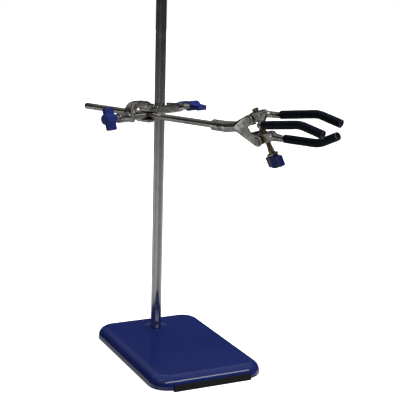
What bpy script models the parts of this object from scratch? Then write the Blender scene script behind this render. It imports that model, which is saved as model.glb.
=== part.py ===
"""Retort stand: pressed base, support rod, bosshead and three-prong clamp.

The origin is on the surface that the stand rests on, under the middle of its
bounding box. +Z is up the rod, and the base reaches forward along -Y.
"""
import math

import bmesh
import bpy
from mathutils import Matrix, Vector

MM = 0.001
GAP = 0.3 * MM                      # clearance between pieces that touch

# Base: a pressed steel shell that stands on two rubber edge trims.
BASE_WIDTH = 106.5 * MM
BASE_LENGTH = 159 * MM
BASE_HEIGHT = 11.8 * MM
BASE_CENTRE_Y = -48 * MM
CORNER_RADIUS = 18 * MM
EDGE_RADIUS = 8.8 * MM
SHEET = 1.8 * MM
RIM_CLEARANCE = 1.0 * MM            # from the floor to the shell's rim
FOOT_HALF_WIDTH = 37 * MM
FOOT_HEIGHT = 5.6 * MM
FOOT_WALL = 1.6 * MM
RECESS_RADIUS = 11 * MM
RECESS_DEPTH = 0.8 * MM

# Support rod and its fixing under the base.
ROD_RADIUS = 5 * MM
ROD_TOP = 500 * MM
STUD_RADIUS = 4 * MM
STUD_BOTTOM = 1.2 * MM
NUT_ACROSS_FLATS = 13 * MM

# Bosshead: its own frame has X along both lock screws and Y along the clamp rod.
BOSS_HEIGHT = 221 * MM
ARM_YAW = math.radians(22.5)        # the arm's turn from the base's long axis
ARM_OFFSET = 15 * MM                # between the axes of the two rods
BODY_BOTTOM = -6.4 * MM
BODY_TOP = 9 * MM
BODY_Y = (-6.5 * MM, 9 * MM)
WEB_X = (-18.5 * MM, -1 * MM)       # the web between the two rods
ROD_JAW_Z = (1.2 * MM, 8.8 * MM)    # the jaw that holds the support rod
HOOK_X = -23 * MM                   # the lip under the clamp rod
BRIDGE_Y = (-10.8 * MM, -7.2 * MM)
RIGHT_LEG_X = (13.2 * MM, 19.8 * MM)
LEFT_LEG_X = (-42 * MM, -35.4 * MM)
ARCH_HALF_DEPTH = 4.6 * MM          # the arch that holds the clamp rod
ARCH_TOP = 13.6 * MM
ARCH_UNDERSIDE = 8 * MM
LEG_BOTTOM = -4.8 * MM
SCREW_BOSS_RADIUS = 4.6 * MM
SCREW_BOSS_ENDS = (29 * MM, -53.6 * MM)
ROD_LOCK_Z = 4.2 * MM               # the rod's lock screw sits above the clamp rod
LOCK_SCREW_RADIUS = 3 * MM
ROD_KNOB_X = 38.5 * MM              # the rim of each lock knob's socket
ARM_KNOB_X = -58.2 * MM

# Wing knobs, moulded: the lock knobs, and a smaller one on the adjusting screw.
ROD_WING = (27.5 * MM, 12.6 * MM, 1.6 * MM)        # span, depth and how far the hub stands proud
ARM_WING = (20.5 * MM, 9.6 * MM, 2.6 * MM)
ADJUSTING_WING = (21 * MM, 9.5 * MM, 0.8 * MM)
WING_THICKNESS = 4.6 * MM
HUB_RADIUS = 4.8 * MM

# Clamp: its own frame has X along the clamp rod towards the fingers and Z up.
CLAMP_ROLL = math.radians(15.5)
CLAMP_ROD_RADIUS = 3 * MM
CLAMP_ROD_START = -85.3 * MM
CLAMP_ROD_END = 97 * MM
SOCKET_START = 79.5 * MM
SOCKET_END = 98 * MM
SOCKET_RADIUS = 5 * MM

# Head: midway between the jaw pivots, nose up from the clamp rod.
HEAD_X = 129.7 * MM
HEAD_Z = 2.9 * MM
HEAD_PITCH = math.radians(17.5)
PIVOT_Z = 9.6 * MM
THROAT = (-20.5 * MM, 5.2 * MM)     # where the fork leaves the neck
NECK_RADIUS = 4.7 * MM
UPPER_EAR_RADIUS = 4.4 * MM
LOWER_EAR_RADIUS = 5.2 * MM
FORK_HALF_WIDTH = 6.7 * MM
JAW_HALF_WIDTH = 4.4 * MM
JAW_RADIUS = 4 * MM
PIN_RADIUS = 1.4 * MM
PIN_HEAD_RADIUS = 2.8 * MM
SCREW_X = 5.7 * MM                  # the adjusting screw, ahead of the pivots
SCREW_RADIUS = 2.4 * MM
SWIVEL_RADIUS = 3.1 * MM
SLOT_HALF_WIDTH = 2.9 * MM
SLOT_FRONT = 9.8 * MM
SLOT_REACH = 9 * MM
LEAN_CLOSED = math.radians(10)      # how far the screw may lean back in a jaw's slot
LEAN_OPEN = math.radians(19)
STOP_Z = (14.8 * MM, 16.8 * MM)
STOP_RADIUS = 2.9 * MM
COLLAR_Z = (-25.4 * MM, -23.8 * MM)
COLLAR_RADIUS = 4.9 * MM
SHANK_TOP = -19 * MM                # the screw is stouter next to its knob
SHANK_RADIUS = 2.75 * MM

# Fingers: start, bend and tip in the head's XZ plane.
FINGER_RADIUS = 2.4 * MM
SLEEVE_RADIUS = 3.65 * MM
SLEEVE_BORE = 2.7 * MM
BEND_RADIUS = 22 * MM
FINGER_SPREAD = 12.5 * MM
DOUBLE_ROUTE = [(19.2, 3.6), (57.3, -3.2), (76.2, -15.5)]
SINGLE_ROUTE = [(25.0, -14.1), (57.6, -24.2), (79.0, -21.5)]
SLEEVE_OVERHANG = 2.5 * MM          # the sleeve's open end past the finger's tip

ROUND = 32                          # segments on rods and large rounds
SMALL_ROUND = 20                    # segments on bores, pins and small rounds


def material(name, colour, roughness, metallic):
    """A Principled material with the piece's own colour."""
    made = bpy.data.materials.new(name)
    made.use_nodes = True
    shader = made.node_tree.nodes["Principled BSDF"]
    shader.inputs["Base Color"].default_value = (*colour, 1.0)
    shader.inputs["Roughness"].default_value = roughness
    shader.inputs["Metallic"].default_value = metallic
    return made


def enamel(name):
    return material(name, (0.02, 0.03, 0.16), 0.25, 0.0)


def blue_plastic(name):
    return material(name, (0.015, 0.03, 0.28), 0.4, 0.0)


def chrome(name):
    return material(name, (0.55, 0.55, 0.57), 0.15, 1.0)


def cast_nickel(name):
    return material(name, (0.42, 0.41, 0.40), 0.3, 1.0)


def steel(name):
    return material(name, (0.45, 0.44, 0.42), 0.35, 1.0)


def brass(name):
    return material(name, (0.45, 0.36, 0.16), 0.35, 1.0)


def black_rubber(name):
    return material(name, (0.02, 0.02, 0.02), 0.7, 0.0)


def black_vinyl(name):
    return material(name, (0.015, 0.018, 0.03), 0.45, 0.0)


def finished_mesh(bm):
    """Turn a bmesh into a closed mesh whose faces point out."""
    bmesh.ops.remove_doubles(bm, verts=bm.verts, dist=0.001 * MM)
    bmesh.ops.recalc_face_normals(bm, faces=bm.faces)
    mesh = bpy.data.meshes.new("shape")
    bm.to_mesh(mesh)
    bm.free()
    return mesh


def evaluated_mesh(source):
    """The mesh that a temporary object evaluates to; the object is removed."""
    bpy.context.scene.collection.objects.link(source)
    bpy.context.view_layer.update()
    graph = bpy.context.evaluated_depsgraph_get()
    mesh = bpy.data.meshes.new_from_object(source.evaluated_get(graph))
    bpy.data.objects.remove(source)
    bm = bmesh.new()
    bm.from_mesh(mesh)
    return finished_mesh(bm)


def cylinder(start, end, radius, end_radius=None, segments=SMALL_ROUND):
    """A cylinder or cone between two points."""
    start, end = Vector(start), Vector(end)
    along = end - start
    place = Matrix.Translation((start + end) / 2) @ along.to_track_quat("Z", "Y").to_matrix().to_4x4()
    bm = bmesh.new()
    bmesh.ops.create_cone(bm, cap_ends=True, segments=segments, radius1=radius,
                          radius2=radius if end_radius is None else end_radius,
                          depth=along.length, matrix=place)
    return finished_mesh(bm)


def ball(centre, radius):
    bm = bmesh.new()
    bmesh.ops.create_uvsphere(bm, u_segments=16, v_segments=10, radius=radius,
                              matrix=Matrix.Translation(centre))
    return finished_mesh(bm)


def box(x, y, z):
    """A box between three (low, high) pairs."""
    centre = [(low + high) / 2 for low, high in (x, y, z)]
    size = [high - low for low, high in (x, y, z)]
    bm = bmesh.new()
    bmesh.ops.create_cube(bm, size=1, matrix=Matrix.Translation(centre) @ Matrix.Diagonal((*size, 1)))
    return finished_mesh(bm)


def hull(*shapes):
    """The convex hull of several shapes."""
    bm = bmesh.new()
    for shape in shapes:
        bm.from_mesh(shape)
    bmesh.ops.remove_doubles(bm, verts=bm.verts, dist=0.001 * MM)
    made = bmesh.ops.convex_hull(bm, input=bm.verts, use_existing_faces=False)
    bmesh.ops.delete(bm, geom=made["geom_interior"] + made["geom_unused"], context="VERTS")
    stale = [face for face in bm.faces if face not in set(made["geom"])]
    bmesh.ops.delete(bm, geom=stale, context="FACES_ONLY")
    return finished_mesh(bm)


def moved(shape, matrix):
    shape.transform(matrix)
    return shape


def rounded_outline(corners, steps=6):
    """Points around a polygon whose corners (x, y, radius) are turned into arcs."""
    points = []
    for index, (x, y, radius) in enumerate(corners):
        corner = Vector((x, y))
        if not radius:
            points.append(corner)
            continue
        before = (Vector(corners[index - 1][:2]) - corner).normalized()
        after = (Vector(corners[(index + 1) % len(corners)][:2]) - corner).normalized()
        half = before.angle(after) / 2
        centre = corner + (before + after).normalized() * radius / math.sin(half)
        start = corner + before * radius / math.tan(half) - centre
        turn = start.angle_signed(corner + after * radius / math.tan(half) - centre)
        for step in range(steps + 1):
            swing = Matrix.Rotation(-turn * step / steps, 2)
            points.append(centre + swing @ start)
    return points


def slab(outline, z):
    """A flat outline in the XY plane, extruded between two heights."""
    data = bpy.data.curves.new("slab", "CURVE")
    data.dimensions = "2D"
    data.fill_mode = "BOTH"
    data.extrude = (z[1] - z[0]) / 2
    spline = data.splines.new("POLY")
    spline.points.add(len(outline) - 1)
    for point, (x, y) in zip(spline.points, outline):
        point.co = (x, y, 0, 1)
    spline.use_cyclic_u = True
    shape = evaluated_mesh(bpy.data.objects.new("slab", data))
    return moved(shape, Matrix.Translation((0, 0, (z[0] + z[1]) / 2)))


def plate(outline, y):
    """A flat outline in the XZ plane, extruded between two Y positions."""
    return moved(slab(outline, (-y[1], -y[0])), Matrix.Rotation(math.pi / 2, 4, "X"))


def bent_route(corners, y, extend_start=0.0, extend_end=0.0, steps=8):
    """A start, bend and tip in millimetres become a smooth line with one arc."""
    start, bend, tip = (Vector((x * MM, z * MM)) for x, z in corners)
    back, onward = (start - bend).normalized(), (tip - bend).normalized()
    arc = rounded_outline([(*start, 0), (*bend, BEND_RADIUS), (*tip, 0)], steps)
    arc[0] = start + back * extend_start
    arc[-1] = tip + onward * extend_end
    return [Vector((point.x, y, point.y)) for point in arc]


def tube(points, radius):
    """A round bar along a line of points, with filled caps."""
    data = bpy.data.curves.new("tube", "CURVE")
    data.dimensions = "3D"
    data.bevel_depth = radius
    data.bevel_resolution = 3
    data.use_fill_caps = True
    spline = data.splines.new("POLY")
    spline.points.add(len(points) - 1)
    for point, place in zip(spline.points, points):
        point.co = (*place, 1)
    return evaluated_mesh(bpy.data.objects.new("tube", data))


def turned(profile, closed=False, steps=ROUND):
    """A profile of (radius, z) turned about Z; it runs down its outer side."""
    mesh = bpy.data.meshes.new("profile")
    count = len(profile)
    edges = [(index, (index + 1) % count) for index in range(count if closed else count - 1)]
    mesh.from_pydata([(radius, 0, z) for radius, z in profile], edges, [])
    source = bpy.data.objects.new("profile", mesh)
    screw = source.modifiers.new("turn", "SCREW")
    screw.steps = steps
    screw.render_steps = steps
    screw.use_merge_vertices = True
    screw.merge_threshold = 0.001 * MM
    return evaluated_mesh(source)


def ring(inner, outer, z, steps=ROUND):
    low, high = z
    return turned([(outer, high), (outer, low), (inner, low), (inner, high)], closed=True, steps=steps)


def shaped(base, joined=(), cut=()):
    """Join shapes to a base shape, then cut others from it."""
    source = bpy.data.objects.new("shaped", base)
    helpers = []
    for operation, shapes in (("UNION", joined), ("DIFFERENCE", cut)):
        for shape in shapes:
            helper = bpy.data.objects.new("helper", shape)
            bpy.context.scene.collection.objects.link(helper)
            helpers.append(helper)
            boolean = source.modifiers.new("boolean", "BOOLEAN")
            boolean.operation = operation
            boolean.solver = "EXACT"
            boolean.object = helper
    mesh = evaluated_mesh(source)
    for helper in helpers:
        bpy.data.objects.remove(helper)
    return mesh


def place(name, mesh, surface, parent, matrix=None):
    """Put a finished piece in the stand's collection."""
    mesh.name = name
    mesh.materials.clear()
    mesh.materials.append(surface)
    mesh.shade_smooth()
    mesh.set_sharp_from_angle(angle=math.radians(35))
    piece = bpy.data.objects.new(name, mesh)
    piece.parent = parent
    if matrix is not None:
        piece.matrix_local = matrix
    bpy.data.collections["retort_stand"].objects.link(piece)
    return piece


def pivot_frame(name, location=(0, 0, 0), rotation=(0, 0, 0), parent=None):
    """An empty whose axes are a sub-assembly's own frame."""
    frame = bpy.data.objects.new(name, None)
    frame.location = location
    frame.rotation_euler = rotation
    frame.parent = parent
    bpy.data.collections["retort_stand"].objects.link(frame)
    return frame


def along(origin, direction, across=(0, 0, 1)):
    """A placement whose Z runs along a direction and whose X lies nearest another."""
    z_axis = Vector(direction).normalized()
    x_axis = Vector(across) - z_axis * Vector(across).dot(z_axis)
    x_axis.normalize()
    y_axis = z_axis.cross(x_axis)
    turn = Matrix((x_axis, y_axis, z_axis)).transposed().to_4x4()
    return Matrix.Translation(origin) @ turn


def base_shell(stand):
    """The pressed shell: rounded corners, a rolled top edge and a recess for the rod."""
    bm = bmesh.new()
    height = BASE_HEIGHT - RIM_CLEARANCE
    centre = Matrix.Translation((0, BASE_CENTRE_Y, RIM_CLEARANCE + height / 2))
    size = Matrix.Diagonal((BASE_WIDTH, BASE_LENGTH, height, 1))
    bmesh.ops.create_cube(bm, size=1, matrix=centre @ size)
    upright = [edge for edge in bm.edges if abs(edge.verts[0].co.z - edge.verts[1].co.z) > height / 2]
    bmesh.ops.bevel(bm, geom=upright, offset=CORNER_RADIUS, segments=8, affect="EDGES", profile=0.5)
    rim = [edge for edge in bm.edges if all(v.co.z > BASE_HEIGHT - 0.01 * MM for v in edge.verts)]
    bmesh.ops.bevel(bm, geom=rim, offset=EDGE_RADIUS, segments=6, affect="EDGES", profile=0.5)
    floor = [face for face in bm.faces if all(v.co.z < RIM_CLEARANCE + 0.01 * MM for v in face.verts)]
    bmesh.ops.delete(bm, geom=floor, context="FACES_ONLY")
    mesh = bpy.data.meshes.new("shell")
    bm.to_mesh(mesh)
    bm.free()
    source = bpy.data.objects.new("shell", mesh)
    solidify = source.modifiers.new("sheet", "SOLIDIFY")
    solidify.thickness = SHEET
    solidify.offset = -1
    shell = evaluated_mesh(source)
    recess = cylinder((0, 0, BASE_HEIGHT - RECESS_DEPTH), (0, 0, BASE_HEIGHT + SHEET), RECESS_RADIUS,
                      segments=ROUND)
    hole = cylinder((0, 0, 0), (0, 0, BASE_HEIGHT + SHEET), STUD_RADIUS + GAP, segments=ROUND)
    place("base_shell", shaped(shell, cut=[recess, hole]), enamel("blue_enamel"), stand)


def edge_foot(name, stand, wall_y, outward):
    """Rubber trim with a U section, pushed on one short wall; it is also the foot."""
    outer = wall_y + outward * (GAP + FOOT_WALL)
    groove = (wall_y + outward * GAP, wall_y - outward * (SHEET + GAP))
    inner = groove[1] - outward * FOOT_WALL
    groove_floor = RIM_CLEARANCE - GAP
    section = [(outer, 0), (outer, FOOT_HEIGHT), (groove[0], FOOT_HEIGHT), (groove[0], groove_floor),
               (groove[1], groove_floor), (groove[1], FOOT_HEIGHT - FOOT_WALL),
               (inner, FOOT_HEIGHT - FOOT_WALL), (inner, 0)]
    shape = plate(section, (-FOOT_HALF_WIDTH, FOOT_HALF_WIDTH))
    place(name, moved(shape, Matrix.Rotation(math.pi / 2, 4, "Z")), black_rubber(name + "_rubber"), stand)


def support_rod(stand):
    """The plated rod, with a reduced threaded stud that passes through the base."""
    shoulder = BASE_HEIGHT - RECESS_DEPTH + GAP
    chamfer = 0.8 * MM
    profile = [(0, ROD_TOP), (ROD_RADIUS - chamfer, ROD_TOP), (ROD_RADIUS, ROD_TOP - chamfer),
               (ROD_RADIUS, shoulder), (STUD_RADIUS, shoulder), (STUD_RADIUS, STUD_BOTTOM), (0, STUD_BOTTOM)]
    place("support_rod", turned(profile), chrome("rod_chrome"), stand)


def rod_fixing(stand):
    """Washer, split lock washer and thin nut, stacked under the shell."""
    bore = STUD_RADIUS + GAP
    washer_top = BASE_HEIGHT - SHEET - GAP
    washer = (washer_top - 1.2 * MM, washer_top)
    place("rod_washer", ring(bore, 12 * MM, washer), steel("washer_steel"), stand)
    lock_top = washer[0] - GAP
    lock = (lock_top - 1.6 * MM, lock_top)
    split = box((0, 8 * MM), (-0.6 * MM, 0.6 * MM), (lock[0] - MM, lock[1] + MM))
    place("rod_lock_washer", shaped(ring(bore, 7 * MM, lock), cut=[split]), steel("lock_washer_steel"), stand)
    nut_top = lock[0] - GAP
    corner_radius = NUT_ACROSS_FLATS / 2 / math.cos(math.pi / 6)
    body = cylinder((0, 0, nut_top - 4.7 * MM), (0, 0, nut_top), corner_radius, segments=6)
    hole = cylinder((0, 0, 0), (0, 0, BASE_HEIGHT), bore, segments=ROUND)
    place("rod_nut", shaped(body, cut=[hole]), steel("nut_steel"), stand)


def rod_jaw():
    """The C-shaped jaw round the support rod, open at the back."""
    inner, outer = RIGHT_LEG_X
    front, wall = BRIDGE_Y
    outline = [(WEB_X[0] + 4 * MM, front, 3 * MM), (outer, front, 8 * MM), (outer, 6 * MM, 3 * MM),
               (inner, 6 * MM, 3 * MM), (inner, wall, 3 * MM), (WEB_X[1] - 0.6 * MM, wall, 0),
               (WEB_X[1] - 0.6 * MM, 5 * MM, 0), (WEB_X[0] + 4 * MM, 5 * MM, 0)]
    return slab(rounded_outline(outline), ROD_JAW_Z)


def arm_jaw():
    """The arch over the clamp rod, open underneath."""
    outer, inner = LEFT_LEG_X
    web = WEB_X[0] + 0.1 * MM
    outline = [(outer, LEG_BOTTOM, 3 * MM), (outer, ARCH_TOP, 11 * MM), (-19 * MM, ARCH_TOP, 8 * MM),
               (-8 * MM, 6.4 * MM, 0), (web, 6 * MM, 0), (web, ARCH_UNDERSIDE, 0),
               (inner, ARCH_UNDERSIDE, 5 * MM), (inner, LEG_BOTTOM, 3 * MM)]
    return plate(rounded_outline(outline), (-ARCH_HALF_DEPTH, ARCH_HALF_DEPTH))


def bosshead_body(frame):
    """An S-shaped casting: one open jaw for each rod, with their seats back to back."""
    web = plate(rounded_outline([
        (HOOK_X, -2 * MM, 0), (HOOK_X, -4.5 * MM, MM), (-20.5 * MM, BODY_BOTTOM, 2 * MM),
        (-9.5 * MM, BODY_BOTTOM, 2 * MM), (WEB_X[1], -1.2 * MM, 1.5 * MM), (WEB_X[1], BODY_TOP, 1.5 * MM),
        (WEB_X[0], BODY_TOP, 1.5 * MM), (WEB_X[0], 2 * MM, 0)]), BODY_Y)
    right_boss = cylinder((RIGHT_LEG_X[1] - MM, 0, ROD_LOCK_Z), (SCREW_BOSS_ENDS[0], 0, ROD_LOCK_Z),
                          SCREW_BOSS_RADIUS)
    left_boss = cylinder((LEFT_LEG_X[0] + MM, 0, 0), (SCREW_BOSS_ENDS[1], 0, 0), SCREW_BOSS_RADIUS)

    seat = CLAMP_ROD_RADIUS + GAP
    arm_seat = hull(cylinder((-ARM_OFFSET, -20 * MM, 0), (-ARM_OFFSET, 20 * MM, 0), seat, segments=ROUND),
                    cylinder((-30 * MM, -20 * MM, 0), (-30 * MM, 20 * MM, 0), seat, segments=ROUND))
    apex, mouth = -math.sqrt(2) * (ROD_RADIUS + GAP), WEB_X[1] + 0.1 * MM
    rod_seat = slab([(apex, 0), (mouth, apex - mouth), (mouth, mouth - apex)], (-20 * MM, 20 * MM))
    bore = LOCK_SCREW_RADIUS + GAP
    right_bore = cylinder((10 * MM, 0, ROD_LOCK_Z), (35 * MM, 0, ROD_LOCK_Z), bore)
    left_bore = cylinder((-30 * MM, 0, 0), (-55 * MM, 0, 0), bore)
    mesh = shaped(web, joined=[rod_jaw(), right_boss, arm_jaw(), left_boss],
                  cut=[arm_seat, rod_seat, right_bore, left_bore])
    place("bosshead_body", mesh, cast_nickel("boss_casting"), frame)


def lock_screw(name, frame, tip, length, outward):
    """A lock screw from its tip on the rod to its end inside the knob."""
    chamfer = 0.6 * MM
    profile = [(0, length), (LOCK_SCREW_RADIUS, length),
               (LOCK_SCREW_RADIUS, chamfer * 3), (LOCK_SCREW_RADIUS - chamfer, chamfer * 2),
               (LOCK_SCREW_RADIUS - chamfer, 0), (0, 0)]
    place(name, turned(profile, steps=24), steel(name + "_steel"), frame, along(tip, outward))


def knob_mesh(wing, bore_radius):
    """A wing knob along its screw's axis (Z), with its wing along X; also its socket's depth."""
    half_span, inner = wing[0] / 2, GAP
    outer = inner + wing[1]
    outline = [(-half_span, inner, 1.2 * MM), (half_span, inner, 1.2 * MM), (half_span, outer, 1.6 * MM),
               (-half_span, outer, 1.6 * MM)]
    blade = plate(rounded_outline(outline), (-WING_THICKNESS / 2, WING_THICKNESS / 2))
    top = outer + wing[2]
    hub = cylinder((0, 0, 0), (0, 0, top - MM), HUB_RADIUS, segments=24)
    crown = cylinder((0, 0, top - 1.5 * MM), (0, 0, top), HUB_RADIUS - 0.6 * MM, HUB_RADIUS - 2 * MM, 24)
    socket_depth = outer - 3 * MM
    socket = cylinder((0, 0, -MM), (0, 0, socket_depth), bore_radius)
    return shaped(blade, joined=[hub, crown], cut=[socket]), socket_depth


def lock_screws(frame):
    """Both lock screws and their knobs, each on its own axis in the bosshead."""
    arm_tip = -ARM_OFFSET - CLAMP_ROD_RADIUS - GAP
    screws = [("rod_lock", ROD_RADIUS + GAP, ROD_KNOB_X, ROD_LOCK_Z, 1, ROD_WING, math.radians(4)),
              ("arm_lock", arm_tip, ARM_KNOB_X, 0, -1, ARM_WING, math.radians(73))]
    for name, tip, rim, height, side, wing, turn in screws:
        knob, socket_depth = knob_mesh(wing, LOCK_SCREW_RADIUS + GAP)
        length = abs(rim - tip) + socket_depth - 2 * GAP
        lock_screw(name + "_screw", frame, (tip, 0, height), length, (side, 0, 0))
        place(name + "_knob", knob, blue_plastic(name + "_knob_plastic"), frame,
              along((rim, 0, height), (side, 0, 0), across=(0, math.cos(turn), math.sin(turn))))


def clamp_rod(frame):
    """The plated arm, with a small chamfer on its free end."""
    chamfer = 0.5 * MM
    profile = [(0, CLAMP_ROD_END), (CLAMP_ROD_RADIUS, CLAMP_ROD_END),
               (CLAMP_ROD_RADIUS, CLAMP_ROD_START + chamfer), (CLAMP_ROD_RADIUS - chamfer, CLAMP_ROD_START),
               (0, CLAMP_ROD_START)]
    place("clamp_rod", turned(profile), chrome("arm_chrome"), frame, along((0, 0, 0), (1, 0, 0)))


def disc(x, z, radius, half_width, segments=24):
    """A short cylinder across the head, centred on its middle plane."""
    return cylinder((x, -half_width, z), (x, half_width, z), radius, segments=segments)


def clamp_body(frame, head):
    """Socket for the clamp rod and a fork whose cheeks hold both jaws."""
    to_head = head.matrix_local
    throat = (THROAT[0], 0, THROAT[1])
    arms = [hull(ball(throat, NECK_RADIUS), disc(0, PIVOT_Z, UPPER_EAR_RADIUS, FORK_HALF_WIDTH)),
            hull(ball(throat, NECK_RADIUS), disc(0, -PIVOT_Z, LOWER_EAR_RADIUS, FORK_HALF_WIDTH))]
    arms.append(hull(ball(throat, NECK_RADIUS - 0.05 * MM),
                     disc(-9 * MM, 0.8 * MM, 5 * MM, FORK_HALF_WIDTH - 0.4 * MM)))
    arms = [moved(arm, to_head) for arm in arms]
    socket = hull(cylinder((SOCKET_START, 0, 0), (SOCKET_END, 0, 0), SOCKET_RADIUS - 0.8 * MM,
                           segments=ROUND),
                  cylinder((SOCKET_START + MM, 0, 0), (SOCKET_END - MM, 0, 0), SOCKET_RADIUS,
                           segments=ROUND))
    neck_radius = SOCKET_RADIUS - 0.1 * MM
    neck = hull(cylinder((SOCKET_END - 4 * MM, 0, 0), (SOCKET_END - 1.5 * MM, 0, 0), neck_radius),
                moved(ball(throat, NECK_RADIUS - 0.1 * MM), to_head))
    rod_bore = cylinder((SOCKET_START - MM, 0, 0), (CLAMP_ROD_END + GAP, 0, 0), CLAMP_ROD_RADIUS + GAP,
                        segments=ROUND)
    cheek_inner = JAW_HALF_WIDTH + GAP
    slot = moved(box((-11 * MM, 12 * MM), (-cheek_inner, cheek_inner), (-20 * MM, 20 * MM)), to_head)
    relief = moved(box((-16 * MM, -3.5 * MM), (0.5 * MM, 8 * MM), (-3.4 * MM, 2.4 * MM)), to_head)
    cuts = [rod_bore, slot, relief]
    for side in (1, -1):
        cuts.append(moved(disc(0, side * PIVOT_Z, PIN_RADIUS + GAP, 12 * MM, SMALL_ROUND), to_head))
        counterbore = cylinder((0, -FORK_HALF_WIDTH - MM, side * PIVOT_Z),
                               (0, -FORK_HALF_WIDTH + 0.8 * MM, side * PIVOT_Z), PIN_HEAD_RADIUS + GAP)
        cuts.append(moved(counterbore, to_head))
    mesh = shaped(socket, joined=[neck, *arms], cut=cuts)
    place("clamp_body", mesh, cast_nickel("clamp_casting"), frame)


def pivot_pin(name, head, z):
    """A slotted pin through both cheeks and a jaw."""
    head_low = -FORK_HALF_WIDTH - 0.6 * MM
    head_high = -FORK_HALF_WIDTH + 0.5 * MM
    shank = cylinder((0, head_high - 0.1 * MM, 0), (0, FORK_HALF_WIDTH + 0.4 * MM, 0), PIN_RADIUS)
    button = cylinder((0, head_low, 0), (0, head_high, 0), PIN_HEAD_RADIUS, segments=24)
    slot = box((-4 * MM, 4 * MM), (head_low - MM, head_low + 0.5 * MM), (-0.4 * MM, 0.4 * MM))
    place(name, shaped(button, joined=[shank], cut=[slot]), steel(name + "_steel"), head,
          Matrix.Translation((0, 0, z)))


def jaw_root(side):
    """The part of a jaw that both jaws share: pivot eye, screw slot and swivel bore.

    A jaw's own frame is centred on its pivot; side is 1 above and -1 below."""
    eye = hull(disc(0, 0, JAW_RADIUS, JAW_HALF_WIDTH), disc(11 * MM, 0, JAW_RADIUS, JAW_HALF_WIDTH))
    cuts = [disc(0, 0, PIN_RADIUS + GAP, 9 * MM, SMALL_ROUND),
            disc(SCREW_X, 0, SWIVEL_RADIUS + GAP, 9 * MM, SMALL_ROUND)]
    for outward, lean in ((side, LEAN_CLOSED), (-side, LEAN_OPEN)):
        start, end = -outward * 0.6 * MM, outward * SLOT_REACH
        back = SCREW_X - SLOT_REACH * math.tan(lean)
        cuts.append(hull(cylinder((SCREW_X, 0, start), (back, 0, end), SLOT_HALF_WIDTH),
                         cylinder((SLOT_FRONT, 0, start), (SLOT_FRONT, 0, end), SLOT_HALF_WIDTH)))
    return eye, cuts


def in_jaw(route, side):
    """A route from the head's frame in a jaw's own frame, still in millimetres."""
    return [(x, z - side * PIVOT_Z / MM) for x, z in route]


def double_jaw(head):
    """The upper jaw: two fingers, spread on either side of the single one."""
    eye, cuts = jaw_root(1)
    route = in_jaw(DOUBLE_ROUTE, 1)
    joined = []
    for y in (-FINGER_SPREAD, FINGER_SPREAD):
        start_x, start_z = (value * MM for value in route[0])
        joined.append(hull(ball((14.2 * MM, math.copysign(2.2 * MM, y), -0.6 * MM), 2.9 * MM),
                           ball((start_x - 3 * MM, y, start_z + 0.3 * MM), FINGER_RADIUS + 0.4 * MM)))
        joined.append(tube(bent_route(route, y, extend_start=2.2 * MM, extend_end=-SLEEVE_OVERHANG),
                           FINGER_RADIUS))
    place("double_jaw", shaped(eye, joined=joined, cut=cuts), cast_nickel("double_jaw_casting"), head,
          Matrix.Translation((0, 0, PIVOT_Z)))


def single_jaw(head):
    """The lower jaw: one finger, which closes between the other two."""
    eye, cuts = jaw_root(-1)
    route = in_jaw(SINGLE_ROUTE, -1)
    start_x, start_z = (value * MM for value in route[0])
    neck = hull(ball((13 * MM, 0, -0.4 * MM), 3.8 * MM),
                ball((start_x - 3 * MM, 0, start_z + 0.6 * MM), 2.9 * MM))
    finger = tube(bent_route(route, 0.0, extend_start=5 * MM, extend_end=-SLEEVE_OVERHANG), FINGER_RADIUS)
    place("single_jaw", shaped(eye, joined=[neck, finger], cut=cuts), cast_nickel("single_jaw_casting"), head,
          Matrix.Translation((0, 0, -PIVOT_Z)))


def sleeve(name, head, route, y, z):
    """A vinyl tube with open ends, slipped on one finger."""
    outer = tube(bent_route(route, y), SLEEVE_RADIUS)
    bore = tube(bent_route(route, y, extend_start=4 * MM, extend_end=4 * MM), SLEEVE_BORE)
    place(name, shaped(outer, cut=[bore]), black_vinyl(name + "_vinyl"), head, Matrix.Translation((0, 0, z)))


def swivel(name, head, z, surface):
    """A barrel that turns in a jaw and lets the adjusting screw through."""
    barrel = disc(0, 0, SWIVEL_RADIUS, JAW_HALF_WIDTH - 0.2 * MM)
    hole = cylinder((0, 0, -8 * MM), (0, 0, 8 * MM), SCREW_RADIUS + GAP)
    place(name, shaped(barrel, cut=[hole]), surface, head, Matrix.Translation((SCREW_X, 0, z)))


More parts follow.
